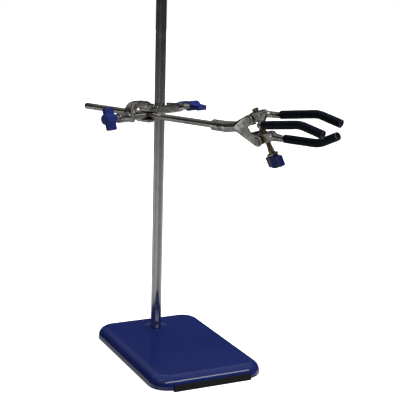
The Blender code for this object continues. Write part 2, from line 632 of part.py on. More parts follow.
def adjusting_screw(head):
    """The screw that opens and closes the jaws, with its stop, collar and knob."""
    knob, socket_depth = knob_mesh(ADJUSTING_WING, SCREW_RADIUS + GAP)
    knob_rim = COLLAR_Z[0] - GAP - 0.5 * MM
    end = knob_rim - socket_depth + 2 * GAP
    top = STOP_Z[1] - MM
    profile = [(0, top), (SCREW_RADIUS, top), (SCREW_RADIUS, SHANK_TOP), (SHANK_RADIUS, SHANK_TOP - 0.6 * MM),
               (SHANK_RADIUS, COLLAR_Z[1] + GAP), (SCREW_RADIUS, COLLAR_Z[1] + GAP), (SCREW_RADIUS, end),
               (0, end)]
    axis = Matrix.Translation((SCREW_X, 0, 0))
    place("adjusting_screw", turned(profile, steps=24), steel("adjusting_screw_steel"), head, axis)
    cap = turned([(0, STOP_Z[1]), (STOP_RADIUS - 0.8 * MM, STOP_Z[1]), (STOP_RADIUS, STOP_Z[1] - 0.8 * MM),
                  (STOP_RADIUS, STOP_Z[0]), (0, STOP_Z[0])], steps=24)
    blind_hole = cylinder((0, 0, STOP_Z[0] - MM), (0, 0, top + GAP), SCREW_RADIUS + GAP / 2)
    place("end_stop", shaped(cap, cut=[blind_hole]), brass("end_stop_brass"), head, axis)
    place("knob_collar", ring(SCREW_RADIUS + GAP, COLLAR_RADIUS, COLLAR_Z, steps=24), steel("collar_steel"),
          head, axis)
    twist = math.radians(17)
    place("adjusting_knob", knob, blue_plastic("adjusting_knob_plastic"), head,
          along((SCREW_X, 0, knob_rim), (0, 0, -1), across=(math.cos(twist), -math.sin(twist), 0)))


def centre_over_origin(stand, pieces):
    """Move the whole stand so that its bounding box's bottom centre is the origin."""
    bpy.context.view_layer.update()
    corners = [piece.matrix_world @ vertex.co for piece in pieces if piece.type == "MESH"
               for vertex in piece.data.vertices]
    x, y, z = ([corner[axis] for corner in corners] for axis in range(3))
    stand.location = (-(min(x) + max(x)) / 2, -(min(y) + max(y)) / 2, -min(z))
    bpy.context.view_layer.update()


def build():
    for leftover in list(bpy.data.objects):
        bpy.data.objects.remove(leftover)
    collection = bpy.data.collections.new("retort_stand")
    bpy.context.scene.collection.children.link(collection)

    stand = pivot_frame("stand_frame")
    base_shell(stand)
    edge_foot("edge_foot_front", stand, BASE_CENTRE_Y - BASE_LENGTH / 2, -1)
    edge_foot("edge_foot_rear", stand, BASE_CENTRE_Y + BASE_LENGTH / 2, 1)
    support_rod(stand)
    rod_fixing(stand)

    boss = pivot_frame("boss_frame", (0, 0, BOSS_HEIGHT), (0, 0, ARM_YAW), parent=stand)
    bosshead_body(boss)
    lock_screws(boss)

    arm = pivot_frame("arm_frame", (-ARM_OFFSET, 0, 0), (CLAMP_ROLL, 0, -math.pi / 2), parent=boss)
    head = pivot_frame("head_frame", (HEAD_X, 0, HEAD_Z), (0, -HEAD_PITCH, 0), parent=arm)
    bpy.context.view_layer.update()
    clamp_rod(arm)
    clamp_body(arm, head)
    pivot_pin("pivot_pin_upper", head, PIVOT_Z)
    pivot_pin("pivot_pin_lower", head, -PIVOT_Z)
    double_jaw(head)
    single_jaw(head)
    swivel("swivel_bush", head, PIVOT_Z, steel("swivel_bush_steel"))
    swivel("swivel_nut", head, -PIVOT_Z, brass("swivel_nut_brass"))
    adjusting_screw(head)
    sleeve("sleeve_near", head, in_jaw(DOUBLE_ROUTE, 1), -FINGER_SPREAD, PIVOT_Z)
    sleeve("sleeve_far", head, in_jaw(DOUBLE_ROUTE, 1), FINGER_SPREAD, PIVOT_Z)
    sleeve("sleeve_single", head, in_jaw(SINGLE_ROUTE, -1), 0.0, -PIVOT_Z)
    centre_over_origin(stand, collection.objects)


build()
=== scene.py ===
"""Retort stand: the surfaces, materials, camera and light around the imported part."""
import math

import bmesh
import bpy
from mathutils import Euler, Matrix, Vector


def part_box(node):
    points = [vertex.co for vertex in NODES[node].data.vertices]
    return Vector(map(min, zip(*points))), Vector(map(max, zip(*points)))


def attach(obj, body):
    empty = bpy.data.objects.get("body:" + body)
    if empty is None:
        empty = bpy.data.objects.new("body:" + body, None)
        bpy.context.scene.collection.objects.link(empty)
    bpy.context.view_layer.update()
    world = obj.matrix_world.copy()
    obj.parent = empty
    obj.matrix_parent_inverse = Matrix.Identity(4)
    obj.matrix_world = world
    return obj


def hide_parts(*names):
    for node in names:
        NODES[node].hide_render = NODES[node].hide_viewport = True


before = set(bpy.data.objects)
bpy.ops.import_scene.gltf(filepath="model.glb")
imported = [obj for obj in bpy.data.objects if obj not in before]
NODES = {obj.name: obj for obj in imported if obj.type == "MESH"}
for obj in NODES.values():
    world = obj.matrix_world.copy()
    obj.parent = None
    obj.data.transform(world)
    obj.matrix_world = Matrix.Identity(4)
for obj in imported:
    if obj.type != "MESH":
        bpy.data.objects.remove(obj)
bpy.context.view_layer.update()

MM = 0.001
WELD_DISTANCE = 0.002 * MM

# ---------------------------------------------------------------- frames of the part

ARM_YAW = math.radians(22.5)        # the bosshead's and the clamp rod's turn about the support rod
ROD_LOCK_Z = 4.2 * MM               # height of the rod's lock screw in the bosshead's frame
SCREW_X = 5.7 * MM                  # the adjusting screw, ahead of the jaws' pivots
FINGER_SPREAD = 12.5 * MM
SLEEVE_RADIUS = 3.65 * MM

rod_low, rod_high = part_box("support_rod")
ROD = (rod_low + rod_high) / 2
HERE = Matrix.Identity(4)           # for a mesh that is already in the part's frame
STAND = Matrix.Translation((ROD.x, ROD.y, 0))
BOSS = STAND @ Matrix.Translation((0, 0, 221 * MM)) @ Matrix.Rotation(ARM_YAW, 4, "Z")
ARM = BOSS @ Matrix.Translation((-15 * MM, 0, 0))
ARM = ARM @ Euler((math.radians(15.5), 0, -math.pi / 2)).to_matrix().to_4x4()
HEAD = ARM @ Matrix.Translation((129.7 * MM, 0, 2.9 * MM)) @ Matrix.Rotation(math.radians(-17.5), 4, "Y")
DOUBLE_ROUTE = [(19.2, 3.6), (57.3, -3.2), (76.2, -15.5)]   # start, bend and tip, in millimetres
SINGLE_ROUTE = [(25.0, -14.1), (57.6, -24.2), (79.0, -21.5)]
SLEEVE_TIPS = [HEAD @ Vector((route[2][0] * MM, y, route[2][1] * MM)) for route, y in (
    (DOUBLE_ROUTE, -FINGER_SPREAD), (DOUBLE_ROUTE, FINGER_SPREAD), (SINGLE_ROUTE, 0))]


def along(origin, direction, across=(0, 0, 1)):
    """A placement whose Z runs along a direction and whose X lies nearest another."""
    z_axis = Vector(direction).normalized()
    x_axis = Vector(across) - z_axis * Vector(across).dot(z_axis)
    x_axis.normalize()
    y_axis = z_axis.cross(x_axis)
    return Matrix.Translation(origin) @ Matrix((x_axis, y_axis, z_axis)).transposed().to_4x4()


ARM_AXIS = ARM @ along((0, 0, 0), (1, 0, 0))


# ---------------------------------------------------------------- material nodes

class Surface:
    """A Principled material whose colour, roughness and bump come from procedural nodes."""

    def __init__(self, name, colour, roughness, metallic=0.0, **constants):
        self.material = bpy.data.materials.new(name)
        self.material.use_nodes = True
        self.tree = self.material.node_tree
        self.shader = self.tree.nodes["Principled BSDF"]
        self.shader.inputs["Base Color"].default_value = (*colour, 1)
        self.shader.inputs["Roughness"].default_value = roughness
        self.shader.inputs["Metallic"].default_value = metallic
        for key, value in constants.items():
            self.shader.inputs[key.replace("_", " ")].default_value = value
        self.material.diffuse_color = (*colour, 1)
        self.coordinates = self.tree.nodes.new("ShaderNodeTexCoord").outputs["Object"]
        self.normal = None

    def link(self, source, target):
        self.tree.links.new(source, target)

    def drawn(self, place, stretch):
        """Coordinates squeezed along the Z axis of a placement, for marks along a drawn bar."""
        node = self.tree.nodes.new("ShaderNodeMapping")
        node.vector_type = "TEXTURE"
        node.inputs["Location"].default_value = place.translation
        node.inputs["Rotation"].default_value = place.to_euler()
        node.inputs["Scale"].default_value = (1, 1, stretch)
        self.link(self.coordinates, node.inputs["Vector"])
        return node.outputs["Vector"]

    def noise(self, size, detail=3.0, rough=0.5, vector=None, distortion=0.0):
        """Noise whose features are about size metres across."""
        node = self.tree.nodes.new("ShaderNodeTexNoise")
        node.inputs["Scale"].default_value = 1 / size
        node.inputs["Detail"].default_value = detail
        node.inputs["Roughness"].default_value = rough
        node.inputs["Distortion"].default_value = distortion
        self.link(vector or self.coordinates, node.inputs["Vector"])
        return node.outputs["Fac"]

    def ramp(self, source, low, high, start=0.0, end=1.0):
        """Map a range of a value to another range, clamped."""
        node = self.tree.nodes.new("ShaderNodeMapRange")
        for key, value in zip(("From Min", "From Max", "To Min", "To Max"), (start, end, low, high)):
            node.inputs[key].default_value = value
        self.link(source, node.inputs["Value"])
        return node.outputs["Result"]

    def math(self, operation, first, second):
        """A sum, product or other operation on two values, each a number or a socket."""
        node = self.tree.nodes.new("ShaderNodeMath")
        node.operation = operation
        for socket, value in zip(node.inputs, (first, second)):
            if isinstance(value, (int, float)):
                socket.default_value = value
            else:
                self.link(value, socket)
        return node.outputs["Value"]

    def blend(self, factor, first, second):
        """Mix two colours, each a tuple or a socket, by a factor socket."""
        node = self.tree.nodes.new("ShaderNodeMix")
        node.data_type = "RGBA"
        sockets = [socket for socket in node.inputs if socket.type == "RGBA"]
        for socket, value in zip(sockets, (first, second)):
            if isinstance(value, tuple):
                socket.default_value = (*value, 1)
            else:
                self.link(value, socket)
        self.link(factor, node.inputs["Factor"])
        return next(socket for socket in node.outputs if socket.type == "RGBA")

    def near(self, centres, reach, fade):
        """One within reach of any of the centres, falling to zero over the fade."""
        nearest = None
        for centre in centres:
            node = self.tree.nodes.new("ShaderNodeVectorMath")
            node.operation = "DISTANCE"
            node.inputs[1].default_value = centre
            self.link(self.coordinates, node.inputs[0])
            distance = node.outputs["Value"]
            nearest = distance if nearest is None else self.math("MINIMUM", nearest, distance)
        return self.ramp(nearest, 1, 0, reach, reach + fade)

    def colour(self, source):
        self.link(source, self.shader.inputs["Base Color"])

    def roughness(self, source):
        self.link(source, self.shader.inputs["Roughness"])

    def bump(self, height, distance, strength=1.0):
        """Add relief from a height socket on top of any relief that is already there."""
        node = self.tree.nodes.new("ShaderNodeBump")
        node.inputs["Strength"].default_value = strength
        node.inputs["Distance"].default_value = distance
        self.link(height, node.inputs["Height"])
        if self.normal is not None:
            self.link(self.normal, node.inputs["Normal"])
        self.normal = node.outputs["Normal"]
        self.link(self.normal, self.shader.inputs["Normal"])


def enamel():
    """Stoved enamel: deep blue, glossy, with a trace of orange peel."""
    made = Surface("blue_enamel", (0.009, 0.016, 0.09), 0.12, Coat_Weight=0.35, Coat_Roughness=0.04,
                   Specular_IOR_Level=0.4)
    cloud = made.noise(60 * MM, 3)
    depth = made.ramp(cloud, 0, 1, 0.3, 0.7)
    made.colour(made.blend(depth, (0.0075, 0.0160, 0.104), (0.0100, 0.0200, 0.120)))
    scuffs = made.noise(9 * MM, 6, 0.7)
    made.roughness(made.ramp(scuffs, 0.09, 0.17, 0.45, 0.75))
    made.bump(made.noise(2.2 * MM, 2), 0.02 * MM, 0.5)
    return made


def chrome():
    """Bright plating on drawn bar, with faint marks along it."""
    made = Surface("rod_chrome", (0.40, 0.40, 0.42), 0.1, 1.0)
    drawn = made.noise(1.2 * MM, 3, vector=made.drawn(STAND, 50))
    smears = made.noise(14 * MM, 4, 0.6)
    made.colour(made.blend(made.ramp(smears, 0, 1, 0.35, 0.7), (0.36, 0.36, 0.38), (0.45, 0.45, 0.47)))
    made.roughness(made.math("ADD", made.ramp(drawn, 0.15, 0.23), made.ramp(smears, 0.0, 0.08, 0.5, 0.75)))
    made.bump(drawn, 0.01 * MM, 0.25)
    return made


def arm_plate():
    """Duller plating of the clamp rod."""
    made = Surface("arm_plating", (0.38, 0.37, 0.34), 0.2, 1.0)
    drawn = made.noise(0.9 * MM, 3, vector=made.drawn(ARM_AXIS, 33))
    patches = made.noise(6 * MM, 5, 0.65)
    made.colour(made.blend(made.ramp(patches, 0, 1, 0.35, 0.7), (0.27, 0.255, 0.225), (0.47, 0.46, 0.44)))
    made.roughness(made.math("ADD", made.ramp(drawn, 0.12, 0.22), made.ramp(patches, 0.0, 0.14, 0.4, 0.75)))
    made.bump(drawn, 0.012 * MM, 0.4)
    return made


def casting(name, dents=0.35):
    """Nickel plate over a tumbled casting: soft dents, and dark stains scattered at random."""
    made = Surface(name, (0.42, 0.40, 0.37), 0.25, 1.0)
    stains = made.noise(5 * MM, 5, 0.65)
    grain = made.noise(0.7 * MM, 4, 0.6)
    swell = made.noise(4.2 * MM, 2, 0.5)
    tone = made.blend(made.ramp(stains, 0, 1, 0.35, 0.68), (0.19, 0.18, 0.16), (0.66, 0.645, 0.62))
    made.colour(tone)
    made.roughness(made.math("ADD", made.ramp(stains, 0.24, 0.12, 0.35, 0.7), made.ramp(grain, 0.0, 0.07)))
    made.bump(swell, dents * MM, 0.6)
    made.bump(grain, 0.02 * MM, 0.35)
    return made


def steel(name, colour=(0.42, 0.41, 0.38), roughness=0.28):
    """Turned metal, mottled by handling; brass is the same with its own colour."""
    made = Surface(name, colour, roughness, 1.0)
    marks = made.noise(1.5 * MM, 5, 0.6)
    darker = tuple(value * 0.6 for value in colour)
    made.colour(made.blend(made.ramp(marks, 0, 1, 0.35, 0.65), darker, colour))
    made.roughness(made.ramp(marks, roughness + 0.1, roughness - 0.06, 0.3, 0.7))
    made.bump(marks, 0.03 * MM, 0.3)
    return made


def blue_plastic():
    """Moulded knob plastic: saturated, satin, scuffed paler on its worn places."""
    made = Surface("knob_plastic", (0.006, 0.011, 0.11), 0.34, Coat_Weight=0.1, Coat_Roughness=0.2,
                   Specular_IOR_Level=0.3)
    wear = made.noise(2.5 * MM, 6, 0.7)
    tone = made.noise(7 * MM, 2)
    base = made.blend(made.ramp(tone, 0, 1, 0.3, 0.7), (0.0055, 0.0145, 0.125), (0.009, 0.0215, 0.175))
    made.colour(made.blend(made.ramp(wear, 0, 0.35, 0.6, 0.78), base, (0.028, 0.04, 0.19)))
    made.roughness(made.ramp(wear, 0.26, 0.45, 0.4, 0.75))
    made.bump(made.noise(0.45 * MM, 3), 0.02 * MM, 0.4)
    return made


def vinyl():
    """Dip-moulded vinyl: blue-black, waxy, with faint ripples along the sleeve."""
    made = Surface("sleeve_vinyl", (0.0035, 0.005, 0.009), 0.45, Specular_IOR_Level=0.13)
    ripples = made.noise(4 * MM, 3, 0.5, distortion=0.6)
    dust = made.noise(0.8 * MM, 5, 0.7)
    shade = made.ramp(ripples, 0, 1, 0.35, 0.7)
    base = made.blend(shade, (0.0018, 0.0036, 0.0088), (0.0030, 0.0058, 0.0135))
    worn = made.blend(made.ramp(dust, 0, 0.3, 0.62, 0.8), base, (0.014, 0.018, 0.026))
    # A paler colour painted in a ring round each open tip, broken up by the dust noise.
    at_tip = made.near(SLEEVE_TIPS, SLEEVE_RADIUS - 0.3 * MM, 0.35 * MM)
    pale_tip_ring = made.math("MULTIPLY", at_tip, made.ramp(dust, 0.55, 1, 0.3, 0.6))
    made.colour(made.blend(pale_tip_ring, worn, (0.06, 0.07, 0.085)))
    made.roughness(made.ramp(dust, 0.36, 0.52, 0.35, 0.75))
    made.bump(ripples, 0.12 * MM, 0.35)
    made.bump(dust, 0.02 * MM, 0.4)
    return made


def rubber():
    """Black edge trim."""
    made = Surface("trim_rubber", (0.009, 0.009, 0.009), 0.62, Specular_IOR_Level=0.35)
    grain = made.noise(0.5 * MM, 4, 0.6)
    dust = made.noise(5 * MM, 5, 0.7)
    greyed = made.ramp(dust, 0, 0.5, 0.55, 0.8)
    made.colour(made.blend(greyed, (0.005, 0.005, 0.0045), (0.014, 0.0135, 0.012)))
    made.roughness(made.ramp(dust, 0.55, 0.75, 0.4, 0.75))
    made.bump(grain, 0.03 * MM, 0.5)
    return made


ENAMEL = enamel()
CHROME = chrome()
ARM_PLATE = arm_plate()
BOSS_CASTING = casting("boss_casting")
CLAMP_CASTING = casting("clamp_casting", 0.8)
PLAIN_STEEL = steel("plain_steel")
SCREW_STEEL = steel("screw_steel", (0.36, 0.355, 0.33), 0.3)
BRASS = steel("dull_brass", (0.26, 0.215, 0.115), 0.32)
KNOB = blue_plastic()
VINYL = vinyl()
RUBBER = rubber()


# ---------------------------------------------------------------- mesh helpers

def to_mesh(bm, name):
    """Turn a bmesh into a mesh whose faces point out."""
    bmesh.ops.recalc_face_normals(bm, faces=bm.faces)
    mesh = bpy.data.meshes.new(name)
    bm.to_mesh(mesh)
    bm.free()
    return mesh


def add(name, mesh, place, body, surface, slot, *nodes, sharp=30):
    """Put a finished piece in the scene, riding on a body and standing for CAD nodes.

    The mesh itself is moved to its place, so that the object keeps an identity matrix."""
    mesh.name = name
    mesh.transform(place)
    mesh.materials.clear()
    mesh.materials.append(surface.material)
    mesh.shade_smooth()
    if sharp:
        mesh.set_sharp_from_angle(angle=math.radians(sharp))
    piece = bpy.data.objects.new(name, mesh)
    bpy.context.scene.collection.objects.link(piece)
    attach(piece, body)
    if nodes:
        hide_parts(*nodes)
    return piece


def skin(rings, name):
    """Quads between closed rings of points; a ring of one point caps an end."""
    bm = bmesh.new()
    rows = [[bm.verts.new(point) for point in ring] for ring in rings]
    for upper, lower in zip(rows, rows[1:]):
        count = max(len(upper), len(lower))
        for index in range(count):
            corner = [upper[index % len(upper)], upper[(index + 1) % len(upper)],
                      lower[(index + 1) % len(lower)], lower[index % len(lower)]]
            bm.faces.new(list(dict.fromkeys(corner)))
    return to_mesh(bm, name)


def lathe(profile, steps):
    """A profile of (radius, z) turned about Z; a radius of zero closes an end."""
    rings = []
    for radius, z in profile:
        if radius == 0:
            rings.append([(0, 0, z)])
        else:
            turns = [2 * math.pi * k / steps for k in range(steps)]
            rings.append([(radius * math.cos(turn), radius * math.sin(turn), z) for turn in turns])
    return skin(rings, "turned")


def threaded(profile, pitch, depth, spans, steps=36, hand=1):
    """A turned bar whose radius dips in a helix over spans of z; hand -1 is left-handed."""
    per_turn = 8
    rings = []
    for (r0, z0), (r1, z1) in zip(profile, profile[1:]):
        parts = max(1, round(abs(z1 - z0) / pitch * per_turn)) if any(
            low - 1e-6 <= min(z0, z1) and max(z0, z1) <= high + 1e-6 for low, high in spans) else 1
        for part in range(parts):
            share = part / parts
            rings.append((r0 + (r1 - r0) * share, z0 + (z1 - z0) * share, parts > 1))
    rings.append((*profile[-1], False))
    loops = []
    for radius, z, cut in rings:
        if radius == 0:
            loops.append([(0, 0, z)])
            continue
        loop = []
        for k in range(steps):
            turn = 2 * math.pi * k / steps
            edge = min([1.0] + [max(0.0, min(z - low, high - z) / pitch) for low, high in spans
                                if low - 1e-9 <= z <= high + 1e-9] or [0.0])
            wave = 0.5 - 0.5 * math.cos(2 * math.pi * z / pitch - hand * turn)
            r = radius - (depth * edge * wave if cut else 0.0)
            loop.append((r * math.cos(turn), r * math.sin(turn), z))
        loops.append(loop)
    return skin(loops, "thread")


def softened(node, voxel, smooth):
    """A CAD node's shape with cast or moulded edges: remeshed finely, then smoothed."""
    source = bpy.data.objects.new("softened", NODES[node].data.copy())
    bpy.context.scene.collection.objects.link(source)
    weld = source.modifiers.new("weld", "WELD")
    weld.merge_threshold = WELD_DISTANCE
    remesh = source.modifiers.new("remesh", "REMESH")
    remesh.mode = "VOXEL"
    remesh.voxel_size = voxel
    relax = source.modifiers.new("relax", "SMOOTH")
    relax.factor = 0.5
    relax.iterations = smooth
    bpy.context.view_layer.update()
    graph = bpy.context.evaluated_depsgraph_get()
    mesh = bpy.data.meshes.new_from_object(source.evaluated_get(graph))
    bpy.data.objects.remove(source)
    return mesh


def finish_cad(node, surface, bevel=0.0):
    """Keep a CAD node, with its own material and, where it needs them, rounded edges."""
    piece = NODES[node]
    piece.data.materials.clear()
    piece.data.materials.append(surface.material)
    if bevel:
        weld = piece.modifiers.new("weld", "WELD")
        weld.merge_threshold = WELD_DISTANCE
        rounded = piece.modifiers.new("edges", "BEVEL")
        rounded.width = bevel
        rounded.segments = 2
        rounded.limit_method = "ANGLE"
        rounded.angle_limit = math.radians(40)
        rounded.harden_normals = True


# ---------------------------------------------------------------- base

def rounded_rectangle(width, length, radius, centre, z, steps=14):
    """A ring of points round a rectangle with round corners."""
    points = []
    for quarter, (sx, sy) in enumerate(((1, 1), (-1, 1), (-1, -1), (1, -1))):
        cx = centre.x + sx * (width / 2 - radius)
        cy = centre.y + sy * (length / 2 - radius)
        for k in range(steps + 1):
            turn = math.pi / 2 * (quarter + k / steps)
            points.append((cx + radius * math.cos(turn), cy + radius * math.sin(turn), z))
    return points


def base_shell():
    """Pressed sheet with a rolled edge and a soft dimple where the rod stands."""
    low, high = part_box("base_shell")
    centre = (low + high) / 2
    width, length = high.x - low.x, high.y - low.y
    edge, corner, sheet = 8.8 * MM, 18 * MM, 1.8 * MM
    top = high.z

    def loop(inset, z):
        return rounded_rectangle(width - 2 * inset, length - 2 * inset, corner - inset, centre, z)

    def sheet_loops(offset):
        """The wall, from its rim to the flat top; offset moves it in by the sheet's thickness."""
        loops = [loop(offset, low.z), loop(offset, low.z + MM)]
        radius = edge - offset
        for k in range(13):
            turn = math.pi / 2 * k / 12
            inset = offset + radius * (1 - math.cos(turn))
            loops.append(loop(inset, top - edge + radius * math.sin(turn)))
        loops.append(loop(edge + 1.5 * MM, top - offset))
        return loops

    def dimple(offset, z_top):
        """Rings from the flat top down a soft step to the rod's hole."""
        steps = len(loop(0, 0))
        profile = []
        for k in range(9):
            share = k / 8
            drop = 0.8 * MM * (3 * share ** 2 - 2 * share ** 3)
            profile.append((12.6 * MM - 3.4 * MM * share - offset * 0.2, z_top - drop))
        profile.append((4.3 * MM, z_top - 0.8 * MM))
        turns = [2 * math.pi * (k + 0.5) / steps for k in range(steps)]
        return [[(ROD.x + r * math.cos(turn), ROD.y + r * math.sin(turn), z) for turn in turns]
                for r, z in profile]

    bm = bmesh.new()

    def bridge(loops):
        rows = [[bm.verts.new(point) for point in ring] for ring in loops]
        for upper, lower in zip(rows, rows[1:]):
            for k in range(len(upper)):
                n = (k + 1) % len(upper)
                bm.faces.new((upper[k], upper[n], lower[n], lower[k]))
        return rows

    outside = bridge(sheet_loops(0.0))
    inside = bridge(sheet_loops(sheet))
    dish = bridge(dimple(0.0, top))
    under = bridge(dimple(1.0 * MM, top - sheet))
    count = len(outside[0])
    for first, second in ((outside[0], inside[0]), (dish[-1], under[-1])):
        for k in range(count):
            n = (k + 1) % count
            bm.faces.new((first[k], first[n], second[n], second[k]))
    for rim, hole in ((outside[-1], dish[0]), (inside[-1], under[0])):
        edges = []
        for ring in (rim, hole):
            for k in range(count):
                edges.append(bm.edges.get((ring[k], ring[(k + 1) % count])))
        bmesh.ops.triangle_fill(bm, edges=edges, use_beauty=True)
    mesh = to_mesh(bm, "base_skin")
    piece = add("base_enamel", mesh, HERE, "base", ENAMEL, "enamel", "base_shell", sharp=50)
    weighted = piece.modifiers.new("normals", "WEIGHTED_NORMAL")
    weighted.keep_sharp = True


base_shell()
for foot in ("edge_foot_front", "edge_foot_rear"):
    finish_cad(foot, RUBBER)


# ---------------------------------------------------------------- support rod

def support_rod():
    """The plated rod with its chamfered top, and a threaded stud for the nut."""
    top, shoulder = rod_high.z, 11.3 * MM
    profile = [(0, top), (4.1 * MM, top), (4.45 * MM, top - 0.08 * MM), (4.9 * MM, top - 0.5 * MM),
               (5 * MM, top - 0.8 * MM)]
    runs = 12
    straight = top - shoulder - 1.3 * MM
    profile += [(5 * MM, top - 0.8 * MM - straight * (k + 1) / runs) for k in range(runs)]
    profile += [(4.7 * MM, shoulder), (4 * MM, shoulder), (4 * MM, shoulder - 0.4 * MM),
                (4 * MM, 1.9 * MM), (3.5 * MM, rod_low.z), (0, rod_low.z)]
    mesh = threaded(profile, 1.25 * MM, 0.55 * MM, [(1.9 * MM, shoulder - 0.4 * MM)], steps=96)
    add("rod", mesh, STAND, "rod", CHROME, "rod_chrome", "support_rod", sharp=35)


support_rod()
finish_cad("rod_washer", PLAIN_STEEL, 0.15 * MM)
finish_cad("rod_lock_washer", PLAIN_STEEL, 0.12 * MM)
finish_cad("rod_nut", PLAIN_STEEL, 0.3 * MM)


# ---------------------------------------------------------------- bosshead

add("bosshead", softened("bosshead_body", 0.36 * MM, 12), HERE, "bosshead", BOSS_CASTING,
    "cast_nickel", "bosshead_body", sharp=0)


def lock_screw(node, tip, side, height):
    """A threaded lock screw; its length comes from the CAD node's box, which lies askew to it."""
    low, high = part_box(node)
    length = (abs(high.x - low.x) - 6 * MM * math.sin(ARM_YAW)) / math.cos(ARM_YAW)
    place = BOSS @ along((tip, 0, height), (side, 0, 0))
    profile = [(0, length), (2.6 * MM, length), (3 * MM, length - 0.4 * MM), (3 * MM, 2 * MM),
               (2.5 * MM, 1.4 * MM), (2.4 * MM, 0.2 * MM), (2.2 * MM, 0), (0, 0)]
    mesh = threaded(profile, MM, 0.5 * MM, [(2 * MM, length - 0.4 * MM)])
    add(node + "_thread", mesh, place, node, SCREW_STEEL, "steel", node, sharp=60)


lock_screw("rod_lock_screw", 5.3 * MM, 1, ROD_LOCK_Z)
lock_screw("arm_lock_screw", -18.3 * MM, -1, 0)

for knob, body in (("rod_lock_knob", "rod_lock_knob"), ("arm_lock_knob", "arm_lock_knob"),
                   ("adjusting_knob", "adjusting_screw")):
    add(knob + "_moulded", softened(knob, 0.28 * MM, 7), HERE, body, KNOB, "blue_plastic", knob, sharp=0)


# ---------------------------------------------------------------- clamp

def clamp_rod():
    """The plated arm, with a softened edge on its free end."""
    start, end = -85.3 * MM, 97 * MM
    profile = [(0, end), (3 * MM, end)]
    profile += [(3 * MM, end + (start + 0.6 * MM - end) * (k + 1) / 10) for k in range(10)]
    profile += [(2.85 * MM, start + 0.25 * MM), (2.4 * MM, start), (0, start)]
    mesh = lathe(profile, 64)
    add("arm_rod", mesh, ARM_AXIS, "clamp_arm", ARM_PLATE, "arm_plate", "clamp_rod")


clamp_rod()
for name, node, body, voxel, smooth in (
        ("clamp_fork", "clamp_body", "clamp_head", 0.32 * MM, 13),
        ("double_jaw_cast", "double_jaw", "double_jaw", 0.3 * MM, 6),
        ("single_jaw_cast", "single_jaw", "single_jaw", 0.3 * MM, 6)):
    add(name, softened(node, voxel, smooth), HERE, body, CLAMP_CASTING, "cast_nickel", node, sharp=0)
for pin in ("pivot_pin_upper", "pivot_pin_lower"):
    finish_cad(pin, PLAIN_STEEL, 0.15 * MM)
finish_cad("swivel_bush", PLAIN_STEEL, 0.15 * MM)
finish_cad("swivel_nut", BRASS, 0.15 * MM)


def adjusting_screw():
    """The left-hand screw that sets the jaws, with its turned end stop and collar."""
    place = HEAD @ Matrix.Translation((SCREW_X, 0, 0))
    top, shank_top, collar_top, end = 15.8 * MM, -19 * MM, -23.5 * MM, -32.4 * MM
    profile = [(0, top), (2.4 * MM, top), (2.4 * MM, shank_top), (2.75 * MM, shank_top - 0.6 * MM),
               (2.75 * MM, collar_top), (2.4 * MM, collar_top), (2.4 * MM, end), (0, end)]
    mesh = threaded(profile, 0.8 * MM, 0.4 * MM, [(shank_top, top)], hand=-1)
    add("adjusting_thread", mesh, place, "adjusting_screw", BRASS, "brass", "adjusting_screw", sharp=60)
    cap = lathe([(0, 16.8 * MM), (1.9 * MM, 16.8 * MM), (2.5 * MM, 16.6 * MM), (2.9 * MM, 16.1 * MM),
                 (2.9 * MM, 15.1 * MM), (2.7 * MM, 14.8 * MM), (2.5 * MM, 14.8 * MM), (2.5 * MM, 16.1 * MM),
                 (0, 16.1 * MM)], 48)
    add("end_stop_turned", cap, place, "adjusting_screw", BRASS, "brass", "end_stop")
    collar = lathe([(2.7 * MM, -23.8 * MM), (4.6 * MM, -23.8 * MM), (4.9 * MM, -24.1 * MM),
                    (4.9 * MM, -25.1 * MM), (4.6 * MM, -25.4 * MM), (2.7 * MM, -25.4 * MM),
                    (2.7 * MM, -23.8 * MM)], 64)
    add("collar_turned", collar, place, "adjusting_screw", PLAIN_STEEL, "steel", "knob_collar")


adjusting_screw()


# ---------------------------------------------------------------- finger sleeves

def smooth_route(corners, radius, y):
    """Points along a start, bend and tip in millimetres, rounded by one arc."""
    start, bend, tip = (Vector((x * MM, z * MM)) for x, z in corners)
    back, onward = (start - bend).normalized(), (tip - bend).normalized()
    half = back.angle(onward) / 2
    reach = radius / math.tan(half)
    centre = bend + (back + onward).normalized() * radius / math.sin(half)
    first, last = bend + back * reach, bend + onward * reach
    swing = (first - centre).angle_signed(last - centre)
    points = [start.lerp(first, k / 12) for k in range(12)]
    for k in range(15):
        points.append(centre + Matrix.Rotation(-swing * k / 14, 2) @ (first - centre))
    points += [last.lerp(tip, (k + 1) / 8) for k in range(8)]
    return [Vector((point.x, y, point.y)) for point in points]


